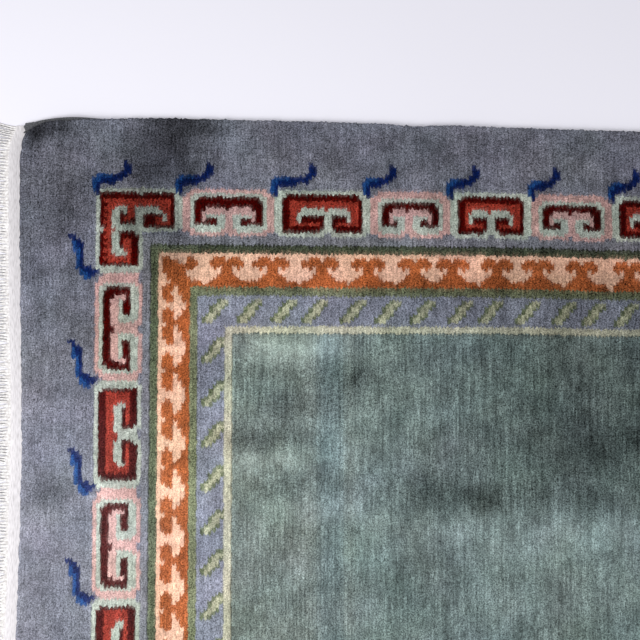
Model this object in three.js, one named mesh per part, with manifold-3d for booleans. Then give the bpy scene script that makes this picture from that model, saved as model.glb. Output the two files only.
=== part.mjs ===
// A Tibetan khaden rug, laid flat on the floor: the knotted wool body in one piece, an
// overcast selvedge along each long side, and at each short side a flat-woven cotton end
// whose warps hang out as fringe. Millimetres, +Z up. The length runs along X, and the
// origin is at the middle of the footprint, on the floor.
import * as THREE from 'three';
import { mergeVertices } from 'three/addons/utils/BufferGeometryUtils.js';
import Module from 'manifold-3d';

const wasm = await Module();
wasm.setup();

// Driving sizes
const PILE_LENGTH = 1691; // over the pile at both ends
const RUG_WIDTH = 871; // over both selvedges
const PILE_TOP = 11; // floor to the tips of the pile
const FIT_GAP = 0.3; // between pieces that are sewn or woven together

// The pile stands out over the foundation at its edges, and is worn round there
const END_OVERHANG = 3;
const SIDE_OVERHANG = 4.3;
const EDGE_ROLL = 3;
const ROLL_REACH = 5;
const FOUNDATION_CORNER = 5;
const PILE_CORNER = 18;
const LIP_RISE = 1.1; // from the foundation's edge up to the pile's outermost line

// Overcast selvedge: a wrapped bundle of warps, flattened on the floor
const SELVEDGE_WIDTH = 5;
const SELVEDGE_HEIGHT = 4.4;

// Flat-woven end and its fringe
const WEB_WIDTH = 14;
const WEB_THICKNESS = 1.6;
const WEB_RIPPLE = { depth: 0.6, length: 195 }; // of its outer edge
const FRINGE_LENGTH = 50;
const LOCKS = 114;
const LOCK_WIDTH = 3.4;
const LOCK_HEIGHT = 1.5;
const LOCK_ROOT = 3; // buried in the web
const LOCK_STEPS = 3;
const TIP_SIZE = 0.65; // of the lock's size at its root
const LENGTH_SPREAD = 0.08; // how much shorter the shortest locks are
const LOCK_LEAN = 1.2; // sideways at the tip, each lock by itself
const LOCK_SWAY = { reach: 1.5, curve: 4, length: 440 }; // shared by neighbours

const END_X = PILE_LENGTH / 2;
const SIDE_Y = RUG_WIDTH / 2;
const FOUNDATION_X = END_X - END_OVERHANG;
const FOUNDATION_Y = SIDE_Y - SELVEDGE_WIDTH - FIT_GAP;
const PILE_Y = FOUNDATION_Y + SIDE_OVERHANG;

// Grid of the body: close lines at the edges, then even steps
const EDGE_LINES = [0, 3, 8, 18];
const EDGE_FADE = 24; // power by which an edge's wave fades inwards
const GRID_STEP = 34;
const UNDERSIDE_MARGIN = 40; // the underside is level from here inwards

// Each edge draws in from its straight line in one slow wave, furthest out at its crest
const EDGES = {
  back: { depth: 6, length: 1400, crest: -700 },
  front: { depth: 5, length: 1300, crest: 650 },
  left: { depth: 7, length: 700, crest: 420 },
  right: { depth: 5, length: 760, crest: -400 },
};

// Worn nicks in the edges, placed along the edge
const NICKS = [
  { edge: 'back', at: -757, reach: 22, depth: 1.4 },
  { edge: 'back', at: -440, reach: 20, depth: 2 },
  { edge: 'back', at: 250, reach: 24, depth: 1.6 },
  { edge: 'front', at: -360, reach: 22, depth: 1.8 },
  { edge: 'front', at: 600, reach: 20, depth: 1.5 },
];

// Soft folds left from storage. A fold along X lies at a y, a fold along Y at an x,
// and it wanders to each side of that line
const FOLDS = [
  { along: 'x', at: 45, wander: 9, rise: 2.2, reach: 26 },
  { along: 'y', at: -378, wander: 6, rise: 1.2, reach: 30 },
  { along: 'y', at: 12, wander: 8, rise: 1.6, reach: 28 },
  { along: 'y', at: 410, wander: 6, rise: 1.3, reach: 30 },
];
const FOLD_DIP = { share: 0.6, shift: 1.6 }; // beside each ridge, in its rise and its reach
const FOLD_WAVE = 760;
const SWELL = { rise: 0.5, lengthX: 720, lengthY: 480 }; // slow unevenness all over

// Where the cloth curls up off the floor at its edge
const CURLS = [
  { x: -792, y: SIDE_Y, reachX: 28, reachY: 14, rise: 5 },
  { x: 780, y: -SIDE_Y, reachX: 34, reachY: 16, rise: 3 },
];

// A crushed hollow in the pile of one corner
const HOLLOW = { x: -824, y: 418, reach: 11, depth: 2.6 };

const WOOL_GREY = 0x6b6d77;
const COTTON_WHITE = 0xe6e1dc;

function bell(distance, reach) {
  return Math.exp(-((distance / reach) ** 2));
}

// The angle of a wave of the given length at a place along it
function turn(along, length) {
  return (2 * Math.PI * along) / length;
}

function drawIn(edge, along) {
  const wave = EDGES[edge];
  const nicks = NICKS.filter((nick) => nick.edge === edge)
    .reduce((sum, nick) => sum + nick.depth * bell(along - nick.at, nick.reach), 0);
  return (wave.depth / 2) * (1 - Math.cos(turn(along - wave.crest, wave.length))) + nicks;
}

function curl(x, y) {
  return CURLS.reduce(
    (sum, c) => sum + c.rise * bell(x - c.x, c.reachX) * bell(y - c.y, c.reachY), 0);
}

function foldHeight(x, y) {
  return FOLDS.reduce((sum, fold) => {
    const [across, along] = fold.along === 'x' ? [y, x] : [x, y];
    const line = fold.at + fold.wander * Math.sin(turn(along, FOLD_WAVE));
    const ridge = bell(across - line, fold.reach);
    const dip = bell(across - line - FOLD_DIP.shift * fold.reach, fold.reach);
    return sum + fold.rise * (ridge - FOLD_DIP.share * dip);
  }, 0);
}

function pileHeight(x, y) {
  const fromEdge = Math.max(0, Math.min(END_X - Math.abs(x), PILE_Y - Math.abs(y)));
  const swell = SWELL.rise * Math.sin(turn(x, SWELL.lengthX)) * Math.cos(turn(y, SWELL.lengthY));
  const hollow = HOLLOW.depth * bell(Math.hypot(x - HOLLOW.x, y - HOLLOW.y), HOLLOW.reach);
  const roll = EDGE_ROLL * Math.exp(-fromEdge / ROLL_REACH);
  return PILE_TOP - roll + swell + foldHeight(x, y) - hollow + curl(x, y);
}

// Lines of the grid across one direction, from -half to half
function gridLines(half) {
  const inner = half - EDGE_LINES[EDGE_LINES.length - 1];
  const count = Math.ceil((2 * inner) / GRID_STEP);
  const middle = Array.from({ length: count - 1 }, (_, i) => inner * ((2 * (i + 1)) / count - 1));
  const low = EDGE_LINES.map((d) => d - half);
  const high = EDGE_LINES.map((d) => half - d).reverse();
  return [...low, ...middle, ...high];
}

// Takes a point of a straight rectangle to the rug's wavy outline with its round corners
function toOutline(x, y, halfX, halfY, corner) {
  let px = x;
  let py = y;
  const dx = Math.abs(x) - (halfX - corner);
  const dy = Math.abs(y) - (halfY - corner);
  if (dx > 0 && dy > 0) {
    const pull = Math.max(dx, dy) / Math.hypot(dx, dy);
    px = Math.sign(x) * (halfX - corner + dx * pull);
    py = Math.sign(y) * (halfY - corner + dy * pull);
  }
  const endShare = (Math.abs(px) / halfX) ** EDGE_FADE;
  const sideShare = (Math.abs(py) / halfY) ** EDGE_FADE;
  const endIn = drawIn(px < 0 ? 'left' : 'right', py) * endShare;
  const sideIn = drawIn(py < 0 ? 'front' : 'back', px) * sideShare;
  return [px - Math.sign(px) * endIn, py - Math.sign(py) * sideIn];
}

function meshGeometry(points, faces) {
  const geometry = new THREE.BufferGeometry();
  geometry.setAttribute('position', new THREE.Float32BufferAttribute(points.flat(), 3));
  geometry.setIndex(faces.flat());
  return geometry;
}

// Joins rings of equal length into one skin: a band of triangles between each two rings
function bands(ringStarts, count) {
  const faces = [];
  for (let r = 0; r + 1 < ringStarts.length; r += 1) {
    for (let i = 0; i < count; i += 1) {
      const next = (i + 1) % count;
      const [a, b] = [ringStarts[r] + i, ringStarts[r] + next];
      const [c, d] = [ringStarts[r + 1] + i, ringStarts[r + 1] + next];
      faces.push([a, b, d], [a, d, c]);
    }
  }
  return faces;
}

// A closed bar through equal cross-sections, each a list of points
function bar(sections) {
  const count = sections[0].length;
  const points = sections.flat();
  const starts = sections.map((_, i) => i * count);
  const faces = bands(starts, count);
  const last = starts[starts.length - 1];
  for (let i = 1; i + 1 < count; i += 1) {
    faces.push([0, i + 1, i], [last, last + i, last + i + 1]);
  }
  return meshGeometry(points, faces);
}

// The knotted body: uneven pile on top, a lip of pile over a level foundation
function bodyGeometry() {
  const xs = gridLines(END_X);
  const ys = gridLines(PILE_Y);
  const points = [];
  const faces = [];
  const at = (i, j) => i * ys.length + j;
  for (const x of xs) {
    for (const y of ys) {
      const [px, py] = toOutline(x, y, END_X, PILE_Y, PILE_CORNER);
      points.push([px, py, pileHeight(px, py)]);
    }
  }
  for (let i = 0; i + 1 < xs.length; i += 1) {
    for (let j = 0; j + 1 < ys.length; j += 1) {
      const corners = [at(i, j), at(i + 1, j), at(i + 1, j + 1), at(i, j + 1)];
      faces.push([corners[0], corners[1], corners[2]], [corners[0], corners[2], corners[3]]);
    }
  }

  const lastX = xs.length - 1;
  const lastY = ys.length - 1;
  const rim = [
    ...xs.slice(1).map((_, i) => [i, 0]),
    ...ys.slice(1).map((_, j) => [lastX, j]),
    ...xs.slice(1).map((_, i) => [lastX - i, lastY]),
    ...ys.slice(1).map((_, j) => [0, lastY - j]),
  ];

  const foundationPoint = ([i, j], shrink) => toOutline(
    xs[i] * (FOUNDATION_X / END_X) * (1 - shrink / FOUNDATION_X),
    ys[j] * (FOUNDATION_Y / PILE_Y) * (1 - shrink / FOUNDATION_Y),
    FOUNDATION_X - shrink, FOUNDATION_Y - shrink, FOUNDATION_CORNER);
  const addRing = (point) => {
    const start = points.length;
    rim.forEach((place) => points.push(point(place)));
    return start;
  };
  const underside = addRing((place) => [...foundationPoint(place, UNDERSIDE_MARGIN), 0]);
  const floorEdge = addRing((place) => {
    const [x, y] = foundationPoint(place, 0);
    return [x, y, curl(x, y)];
  });
  const lip = addRing((place) => {
    const [x, y] = foundationPoint(place, 0);
    const onSide = place[1] === 0 || place[1] === lastY;
    const foot = onSide ? SELVEDGE_HEIGHT : WEB_THICKNESS;
    return [x, y, foot + 2 * FIT_GAP + curl(x, y)];
  });
  const outermost = addRing(([i, j]) => {
    const [x, y] = points[at(i, j)];
    const foot = j === 0 || j === lastY ? SELVEDGE_HEIGHT : WEB_THICKNESS;
    return [x, y, foot + 2 * FIT_GAP + LIP_RISE + curl(x, y)];
  });
  faces.push(...bands([underside, floorEdge, lip, outermost], rim.length));

  rim.forEach(([i, j], k) => {
    const next = (k + 1) % rim.length;
    const [a, b] = [outermost + k, outermost + next];
    const [c, d] = [at(i, j), at(...rim[next])];
    faces.push([a, b, d], [a, d, c]);
  });
  const floor = rim.map((_, k) => new THREE.Vector2(...points[underside + k]));
  THREE.ShapeUtils.triangulateShape(floor, []).forEach(([a, b, c]) => {
    faces.push([underside + a, underside + c, underside + b]);
  });
  return meshGeometry(points, faces);
}

// Distance from the middle of the rug to the web's inner edge, at a place across the rug
function webInner(side, y) {
  return FOUNDATION_X - drawIn(side > 0 ? 'right' : 'left', y) + FIT_GAP;
}

// Cross-section of the wrapped selvedge: shares of its width and height, from its base
const SELVEDGE_SECTION = [
  { across: 0.16, up: 0 },
  { across: 0.84, up: 0 },
  { across: 1, up: 0.4 },
  { across: 0.8, up: 1 },
  { across: 0.2, up: 1 },
  { across: 0, up: 0.4 },
];

function selvedgeGeometry(side) {
  const edge = side > 0 ? 'back' : 'front';
  const low = 2 * FIT_GAP - webInner(-1, side * SIDE_Y);
  const high = webInner(1, side * SIDE_Y) - 2 * FIT_GAP;
  const xs = gridLines(END_X).map((x) => Math.max(low, Math.min(high, x))).slice(1, -1);
  const sections = xs.map((x) => {
    const outer = SIDE_Y - drawIn(edge, x);
    const ring = SELVEDGE_SECTION.map(({ across, up }) => {
      const y = side * (outer - SELVEDGE_WIDTH * (1 - across));
      return [x, y, SELVEDGE_HEIGHT * up + curl(x, y)];
    });
    return side > 0 ? ring : ring.reverse();
  });
  return bar(sections);
}

// An even spread of numbers from 0 to 1 that looks random
function scatter(n) {
  const value = Math.sin(n * 12.9898) * 43758.5453;
  return value - Math.floor(value);
}

// Place across the rug where a lock leaves the web
function lockY(index) {
  const reach = RUG_WIDTH - 2 * LOCK_WIDTH;
  return (index / (LOCKS - 1) - 0.5) * reach;
}

function lockGeometry(side, index) {
  const y = lockY(index);
  const rootX = webInner(side, y) + WEB_WIDTH;
  const seed = index + (side > 0 ? LOCKS : 0);
  const length = FRINGE_LENGTH * (1 - LENGTH_SPREAD * scatter(seed));
  const lean = LOCK_LEAN * (2 * scatter(seed + 0.5) - 1);
  const sections = [];
  for (let step = 0; step <= LOCK_STEPS; step += 1) {
    const share = step / LOCK_STEPS;
    const x = rootX - LOCK_ROOT + share * (length + LOCK_ROOT);
    const bend = Math.sin(LOCK_SWAY.curve * share + turn(y, LOCK_SWAY.length));
    const middle = y + share * (LOCK_SWAY.reach * bend + lean);
    const size = 1 - (1 - TIP_SIZE) * share;
    const half = (LOCK_WIDTH * size) / 2;
    sections.push([
      [side * x, middle - half, 0],
      [side * x, middle, LOCK_HEIGHT * size],
      [side * x, middle + half, 0],
    ]);
  }
  return bar(side > 0 ? sections.map((ring) => [...ring].reverse()) : sections);
}

function webGeometry(side) {
  const sections = gridLines(PILE_Y).map((y) => {
    const inner = side * webInner(side, y);
    const ripple = WEB_RIPPLE.depth * Math.sin(turn(y, WEB_RIPPLE.length));
    const outer = inner + side * (WEB_WIDTH + ripple);
    const ring = [
      [inner, y, curl(inner, y)],
      [inner, y, WEB_THICKNESS + curl(inner, y)],
      [outer, y, WEB_THICKNESS + curl(outer, y)],
      [outer, y, curl(outer, y)],
    ];
    return side > 0 ? ring : ring.reverse();
  });
  return bar(sections);
}

function toSolid(geometry) {
  const merged = mergeVertices(geometry, 1e-4);
  return new wasm.Manifold(new wasm.Mesh({
    numProp: 3,
    vertProperties: merged.attributes.position.array,
    triVerts: Uint32Array.from(merged.index.array),
  }));
}

function fringedEndGeometry(side) {
  let solid = toSolid(webGeometry(side));
  for (let index = 0; index < LOCKS; index += 1) {
    solid = solid.add(toSolid(lockGeometry(side, index)));
  }
  const { vertProperties, triVerts } = solid.getMesh();
  const geometry = new THREE.BufferGeometry();
  geometry.setAttribute('position', new THREE.BufferAttribute(vertProperties, 3));
  geometry.setIndex(new THREE.BufferAttribute(triVerts, 1));
  return geometry;
}

function piece(name, geometry, color, roughness) {
  const material = new THREE.MeshStandardMaterial({ color, roughness, metalness: 0 });
  geometry.computeVertexNormals();
  const mesh = new THREE.Mesh(geometry, material);
  mesh.name = name;
  return mesh;
}

const rug = new THREE.Group();
rug.add(piece('rug_body', bodyGeometry(), WOOL_GREY, 0.95));
rug.add(piece('selvedge_back', selvedgeGeometry(1), WOOL_GREY, 0.92));
rug.add(piece('selvedge_front', selvedgeGeometry(-1), WOOL_GREY, 0.92));
rug.add(piece('fringed_end_left', fringedEndGeometry(-1), COTTON_WHITE, 0.9));
rug.add(piece('fringed_end_right', fringedEndGeometry(1), COTTON_WHITE, 0.9));

export default rug;
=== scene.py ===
"""A hand-knotted Tibetan wool rug, laid flat on a pale floor. Metres, +Z up, length along X."""
import bpy
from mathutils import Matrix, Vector
import numpy as np


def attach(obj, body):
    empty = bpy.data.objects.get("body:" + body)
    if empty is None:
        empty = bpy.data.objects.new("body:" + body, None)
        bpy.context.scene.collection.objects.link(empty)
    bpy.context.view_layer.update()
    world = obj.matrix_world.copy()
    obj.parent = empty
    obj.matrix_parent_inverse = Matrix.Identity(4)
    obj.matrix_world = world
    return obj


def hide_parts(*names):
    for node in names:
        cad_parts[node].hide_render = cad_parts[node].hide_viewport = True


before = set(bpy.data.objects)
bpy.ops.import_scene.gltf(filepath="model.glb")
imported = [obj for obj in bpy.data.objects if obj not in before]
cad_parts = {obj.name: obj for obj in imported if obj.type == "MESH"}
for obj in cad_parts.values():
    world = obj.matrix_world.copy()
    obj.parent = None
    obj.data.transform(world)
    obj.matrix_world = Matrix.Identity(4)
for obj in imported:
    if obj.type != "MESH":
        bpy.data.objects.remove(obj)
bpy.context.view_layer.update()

# The foundation: cotton warps run the length of the rug, and wool is knotted on them row by row.
# It is a slab about 3 mm thick. Its underside shows each knot as a small loop, so the pattern can be
# read on the back as well. The sizes are those of the solids that these pieces stand for.
MM = 0.001
PILE_LENGTH = 1691 * MM
RUG_WIDTH = 871 * MM
SELVEDGE_WIDTH = 5 * MM
FIT_GAP = 0.3 * MM
END_X = PILE_LENGTH / 2
SIDE_Y = RUG_WIDTH / 2
END_INSET = 3 * MM  # from the last row's outer edge in to the foundation's
FOUNDATION_X = END_X - END_INSET
FOUNDATION_Y = SIDE_Y - SELVEDGE_WIDTH - FIT_GAP
FOUNDATION_TOP = 3.2 * MM
FOUNDATION_CORNER = 5 * MM
PILE_OVERHANG = 4.3 * MM  # the outermost tufts lean out over the selvedge
PILE_Y = FOUNDATION_Y + PILE_OVERHANG
ROWS = 427  # of knots along the length
KNOTS = 237  # in each row, across the width
ROW = PILE_LENGTH / ROWS
KNOT = 2 * PILE_Y / KNOTS
EDGE_FADE = 24  # the power by which the draw at an edge dies out inwards

# Each edge draws in from its straight line in one slow wave, furthest out at its crest
EDGES = {
    "back": {"depth": 6 * MM, "length": 1400 * MM, "crest": -700 * MM},
    "front": {"depth": 5 * MM, "length": 1300 * MM, "crest": 650 * MM},
    "left": {"depth": 7 * MM, "length": 700 * MM, "crest": 420 * MM},
    "right": {"depth": 5 * MM, "length": 760 * MM, "crest": -400 * MM},
}
NICKS = [  # short dents in the long sides, over and above the wave
    {"edge": "back", "at": -757 * MM, "reach": 22 * MM, "depth": 1.4 * MM},
    {"edge": "back", "at": -440 * MM, "reach": 20 * MM, "depth": 2 * MM},
    {"edge": "back", "at": 250 * MM, "reach": 24 * MM, "depth": 1.6 * MM},
    {"edge": "front", "at": -360 * MM, "reach": 22 * MM, "depth": 1.8 * MM},
    {"edge": "front", "at": 600 * MM, "reach": 20 * MM, "depth": 1.5 * MM},
]
CURLS = [  # places at the corners that don't lie quite flat
    {"x": -792 * MM, "y": SIDE_Y, "reach_x": 28 * MM, "reach_y": 14 * MM, "rise": 5 * MM},
    {"x": 780 * MM, "y": -SIDE_Y, "reach_x": 34 * MM, "reach_y": 16 * MM, "rise": 3 * MM},
]


def bell(distance, reach):
    return np.exp(-((distance / reach) ** 2))


def turn(along, length):
    return 2 * np.pi * along / length


def draw_in(edge, along):
    wave = EDGES[edge]
    slow = wave["depth"] / 2 * (1 - np.cos(turn(along - wave["crest"], wave["length"])))
    nicks = [n["depth"] * bell(along - n["at"], n["reach"]) for n in NICKS if n["edge"] == edge]
    return slow + sum(nicks)


# Two corners have drawn in further, and the woven end, its warps and the selvedge with them
PULLS = [
    {"x": -END_X, "y": SIDE_Y, "reach_x": 45 * MM, "reach_y": 24 * MM, "in_x": 9 * MM,
     "in_y": 3 * MM},
    {"x": -END_X - 10 * MM, "y": SIDE_Y, "reach_x": 24 * MM, "reach_y": 14 * MM, "in_x": 0,
     "in_y": 6 * MM},
    {"x": END_X, "y": -SIDE_Y, "reach_x": 40 * MM, "reach_y": 22 * MM, "in_x": 6 * MM,
     "in_y": 2 * MM},
]


def pulled(x, y, lengthwise=1):
    shares = [bell(x - p["x"], p["reach_x"]) * bell(y - p["y"], p["reach_y"]) for p in PULLS]
    in_x = sum(share * np.sign(p["x"]) * p["in_x"] for p, share in zip(PULLS, shares))
    return (x - lengthwise * in_x,
            y - sum(share * np.sign(p["y"]) * p["in_y"] for p, share in zip(PULLS, shares)))


def curl(x, y):
    return sum(c["rise"] * bell(x - c["x"], c["reach_x"]) * bell(y - c["y"], c["reach_y"])
               for c in CURLS)


def to_outline(x, y, half_x, half_y, corner):
    """Takes points of a straight rectangle to the rug's wavy outline with its round corners."""
    dx = np.abs(x) - (half_x - corner)
    dy = np.abs(y) - (half_y - corner)
    pull = np.maximum(dx, dy) / np.hypot(dx, dy)
    round_off = (dx > 0) & (dy > 0)
    px = np.where(round_off, np.sign(x) * (half_x - corner + dx * pull), x)
    py = np.where(round_off, np.sign(y) * (half_y - corner + dy * pull), y)
    end_in = np.where(px < 0, draw_in("left", py), draw_in("right", py))
    side_in = np.where(py < 0, draw_in("front", px), draw_in("back", px))
    return pulled(px - np.sign(px) * end_in * np.abs(px / half_x) ** EDGE_FADE,
                  py - np.sign(py) * side_in * np.abs(py / half_y) ** EDGE_FADE)


# Yarn colours, dyed in small lots, so no two skeins are quite alike
YARNS = {
    "G": "#686a74",  # outer border grey
    "I": "#6b6c73",  # inner border grey
    "K": "#3f4535",  # dark green line
    "E": "#646951",  # mid green line
    "L": "#797d8a",  # lilac stripe
    "Y": "#adac98",  # pale line
    "y": "#999a83",  # leaves
    "g": "#5b634b",  # green round each leaf
    "F": "#6b7977",  # field
    "M": "#9da49a",  # mint
    "D": "#380100",  # maroon
    "B": "#852f24",  # brick red
    "P": "#ae8c87",  # dusty pink
    "N": "#071948",  # navy
    "U": "#183b6c",  # light blue
    "O": "#9c552f",  # orange
    "C": "#dcb096",  # peach
}
YARN_NAMES = sorted(YARNS)

# The nested bands of the border: how far each reaches in, in rows from an end and in knots
# from a side, and its ground colour
BANDS = [(20, 20, "G"), (32, 33, "G"), (34, 36, "I"), (36, 38, "K"), (44, 48, "C"),
         (46, 50, "E"), (53, 59, "L"), (55, 61, "Y")]
BLOCKS_AT = 20
GUARD_AT = {"rows": 36, "knots": 38}


def banded_ground():
    rows = np.minimum(np.arange(ROWS), ROWS - 1 - np.arange(ROWS))[:, None]
    knots = np.minimum(np.arange(KNOTS), KNOTS - 1 - np.arange(KNOTS))[None, :]
    ground = np.full((ROWS, KNOTS), "F")
    for end_reach, side_reach, yarn in reversed(BANDS):
        ground[(rows < end_reach) | (knots < side_reach)] = yarn
    return ground


pattern = banded_ground()


def knot_in(row, knot, yarn):
    """Ties one knot of the pattern, and its twin at the rug's other corner."""
    pattern[row, knot] = yarn
    pattern[ROWS - 1 - row, KNOTS - 1 - knot] = yarn


def stamp(motif, row, knot, turned=False, mirrored=False):
    """Ties a motif. Its first line lies outermost and its columns run along +X. On the left end
    it is turned to the left, with its columns up the end from the given knot."""
    for k, line in enumerate(motif):
        for c, yarn in enumerate(line):
            if yarn in ". ":
                continue
            if turned:
                knot_in(row + k, knot - c, yarn)
            elif mirrored:
                knot_in(ROWS - 1 - row - c, knot + k, yarn)
            else:
                knot_in(row + c, knot + k, yarn)


def stretch(motif, order, length):
    """Repeats columns of a motif, in the given order, until it is long enough."""
    extra = order[:length - len(motif[0])]
    columns = sorted(list(range(len(motif[0]))) + extra)
    return ["".join(line[c] for c in columns) for line in motif]


def without(motif, *lines):
    return [line for k, line in enumerate(motif) if k not in lines]


RED_BLOCK = [
    ".MMMMMMMMMMMMMMMMMMMM.",
    "MMMDDDDDDDDDDDDDDDDMMM",
    "MMDDDDDDDDDDDDDDDDDDMM",
    "MMDDBBBBBBBBBBBBBBBDMM",
    "MMDDBBBBBBBBBBBBBBBDMM",
    "MMDDBBMMMMBMMMMMBBBDMM",
    "MMDDBMMMMMMMMMMMMBBDMM",
    "MMDDBMDDDDMMDDDDMBBDMM",
    "MMDDBMDDDDMMDDDDMBBDMM",
    "MMDDBBBBBDMMDBBBBBBDMM",
    "MMDDDDDDDDMMDDDDDDDDMM",
    "MMDDDDDDDMMMMDDDDDDDMM",
    ".MMMMMMMMM..MMMMMMMMM.",
]
RED_STRETCH = [7, 4, 7, 14, 17, 14, 10, 16]  # columns repeated, in turn, in a longer block
PINK_BLOCK = [
    "..PPPPPPPPPPPPPPPPP..",
    ".PPMMMMMMMMMMMMMMMPP.",
    "PPMMDDDDDDDDDDDDDMMPP",
    "PPMDDDDDDDDDDDDDDDMPP",
    "PPMDDDDDDDDDDDDDDDMPP",
    "PPMDDDPPPDPPPPPDDDMPP",
    "PPMDDPPPPPPPPPPPDDMPP",
    "PPMDDPMMMPPMMMMPDDMPP",
    "PPMDDPDMMPPMMDDPDDMPP",
    "PPMDDDDMMPPMMDDDDDMPP",
    "PPMMMMMMMPPMMMMMMMMPP",
    "PPPMMMMMPPPPMMMMMMPPP",
    "..PPPPPPP.PPPPPPPPP..",
]
PINK_RIM = [  # on the blocks further along the pink is two knots deep
    ".PPPPPPPPPPPPPPPPPPP.",
    "PPPMMMMMMMMMMMMMMMPPP",
]
PINK_STRETCH = [6, 13, 6, 6, 13, 6, 13, 9, 19]
CORNER_BLOCK = [
    "MMMMMMMMMMMMMMMMMMMMM.",
    "MDDDDDDDDDDMDDDDDDDDMM",
    "MDDDDDDDDDDDDDDDDDDDMM",
    "MDBBBBBBBBBBBBBBBBBDMM",
    "MDDBBBBBBBBBBBBBBBBDMM",
    "MDBBBMMMBBMMMMMMBBBDMM",
    "MDDBMMDMBBMMMMMMMBBDMM",
    "MDBBMMDDBBMMDDDDDMBDMM",
    "MDDBMMDBBDMMDDDBBMBDMM",
    "MDBBMMDDDDMMDDDBBBBDMM",
    "MDDBMMMMMMMMDDDDDDDDMM",
    "MMBBBMMMMMMMMMMMMMMMM.",
    "MDDBMMDDDDMM..........",
    "MDBBMMDDDDDM..........",
    "MDDBMMDBBDDM..........",
    "MDBBMMDBBDDM..........",
    "MDDBMMDBBDDM..........",
    "MDBBMMMBBDDM..........",
    "MDDBBMMMBDDM..........",
    "MDBBBBBBBDDM..........",
    "MDDBBBBBBDDM..........",
    "MDDDDDDDDDDM..........",
    "MMMMMMMMMMMM..........",
    ".MMMMMMMMMM...........",
]
TOP_HOOK = [
    ".......N.",
    ".......NN",
    ".......NN",
    "......NNN",
    ".UUUNNNN.",
    "UUNNNNN..",
    "UNNNN....",
    "UN.......",
    "UN.......",
    ".N.......",
]
TOP_HOOK_STRETCH = [3, 4, 5]
TOP_HOOK_LENGTHS = [10, 10, 12, 9, 9, 9, 9]  # in rows, from the left corner
HOOK_NUDGES = {1: -1, 3: -1}  # rows by which a hook stands off its joint
LEFT_HOOK = [  # each line runs from its foot at a joint up to its tip
    "............N",
    "........UUUNN",
    "...UUUUUUNNN.",
    ".UUNNNNNNNN..",
    "UUNN.........",
    "UNNN.........",
    ".NN..........",
    "..N..........",
]
TOP_BLOCKS = [24, 25, 21, 22, 22] + [23] * 9 + [22]  # lengths in rows, from the left corner
LEFT_BLOCKS = [30, 29, 30, 30, 30]  # lengths in knots, from the back corner


def knot_blocks():
    """Fret blocks in pink and red by turns, with a blue hook at each joint between them."""
    stamp(CORNER_BLOCK, BLOCKS_AT, BLOCKS_AT)
    stamp(CORNER_BLOCK, BLOCKS_AT, BLOCKS_AT, mirrored=True)
    joint = BLOCKS_AT + len(CORNER_BLOCK[0])
    joints = [BLOCKS_AT - 1]
    for n, length in enumerate(TOP_BLOCKS):
        pink = PINK_BLOCK if n == 0 else PINK_BLOCK[:1] + PINK_RIM + without(PINK_BLOCK, 0, 1, 4)
        block, order = (RED_BLOCK, RED_STRETCH) if n % 2 else (pink, PINK_STRETCH)
        stamp(stretch(block, order, length), joint, BLOCKS_AT)
        joints.append(joint - 1)
        joint += length
    joints.append(joint - 1)
    for n, at in enumerate(joints):
        hook = stretch(TOP_HOOK, TOP_HOOK_STRETCH, TOP_HOOK_LENGTHS[n % len(TOP_HOOK_LENGTHS)])
        stamp(hook, at + HOOK_NUDGES.get(n, 0), BLOCKS_AT + 2 - len(hook))

    joint = BLOCKS_AT + len(CORNER_BLOCK)
    for n, length in enumerate(LEFT_BLOCKS):
        block, order = (RED_BLOCK, RED_STRETCH) if n % 2 else (PINK_BLOCK, PINK_STRETCH)
        shallow = without(block, 8 if n % 2 else 4)  # on the ends it is a line less deep
        stamp(LEFT_HOOK, BLOCKS_AT + 1 - len(LEFT_HOOK), joint + 1, turned=True)
        joint += length
        stamp(stretch(shallow, order, length), BLOCKS_AT, joint - 1, turned=True)
    stamp(LEFT_HOOK, BLOCKS_AT + 1 - len(LEFT_HOOK), joint + 1, turned=True)


GUARD = [
    "............",
    ".OOO.OOO....",
    "OOOOOOOOO...",
    "OOOOOOOOO...",
    ".O.OOO.O....",
    "...OOO......",
    "..OOOOO.....",
    ".OOOOOOO....",
    "OOOOOOOOOOO.",
    "OOOOOOOOOOOO",
]
WIDE_CLOUDS = (1, 2)  # these came out a row wider
CLOUD_MIDDLE = 4  # columns from the start of a cloud to its middle
END_GUARD = [  # the same cloud as it comes out along the ends, where each line is a row
    ".............",
    "..OOOO.OOOO..",
    ".OOOOOOOOOOO.",
    ".OOOOOOOOOO..",
    "......OO.....",
    "....OOOOO....",
    "..OOOOOOOOO..",
    "OOOOOOOOOOOOO",
]
GUARD_NUDGES = {2: 1, 3: 1, 4: 1, 7: -1, 8: -1}  # rows by which a cloud was begun early or late
GUARD_CORNER = [
    "...........",
    ".OO....OO..",
    ".OOOO..OOO.",
    ".OOOOOOOOO.",
    ".OOOOOOOO..",
    ".OOOOOO....",
    "..OOOOO....",
    "..OOOOOO...",
    "...OOOOOOOO",
    "..OOOOOOOOOOO",
    ".OOO.OOO",
    ".OO..OOO",
    ".OOO..OO",
    "..OO..OO",
    ".......O",
    ".......O",
]
LEAF = [
    ".....gyy",
    "....gyyg",
    "...gyyg.",
    "...gyy..",
    "..gyyg..",
    ".gyyg...",
    ".gyy....",
]
END_LEAF = [
    "....gg",
    "...gyy",
    "..gyyg",
    "..gyy.",
    ".gyyg.",
    "gyyg..",
    "gyg...",
]
LEAF_NUDGES = {0: 1, 1: 1, 7: -1, 10: -1, 11: -1}  # rows by which a leaf was begun off its place
LEAF_MIDDLE = {"side": 6, "end": 4}
LEAVES_AT = {"rows": 47, "knots": 51}
# The runs along the sides and the ends: where the first one is, in rows from an end or in knots
# from a side, and how many spaces there are up to the last
RUNS = {
    "side_clouds": {"first": 53, "spaces": 27},
    "end_clouds": {"first": 59.6, "spaces": 9},
    "side_leaves": {"first": 59.7, "spaces": 33},
    "end_leaves": {"first": 65.9, "spaces": 9},
}


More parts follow.
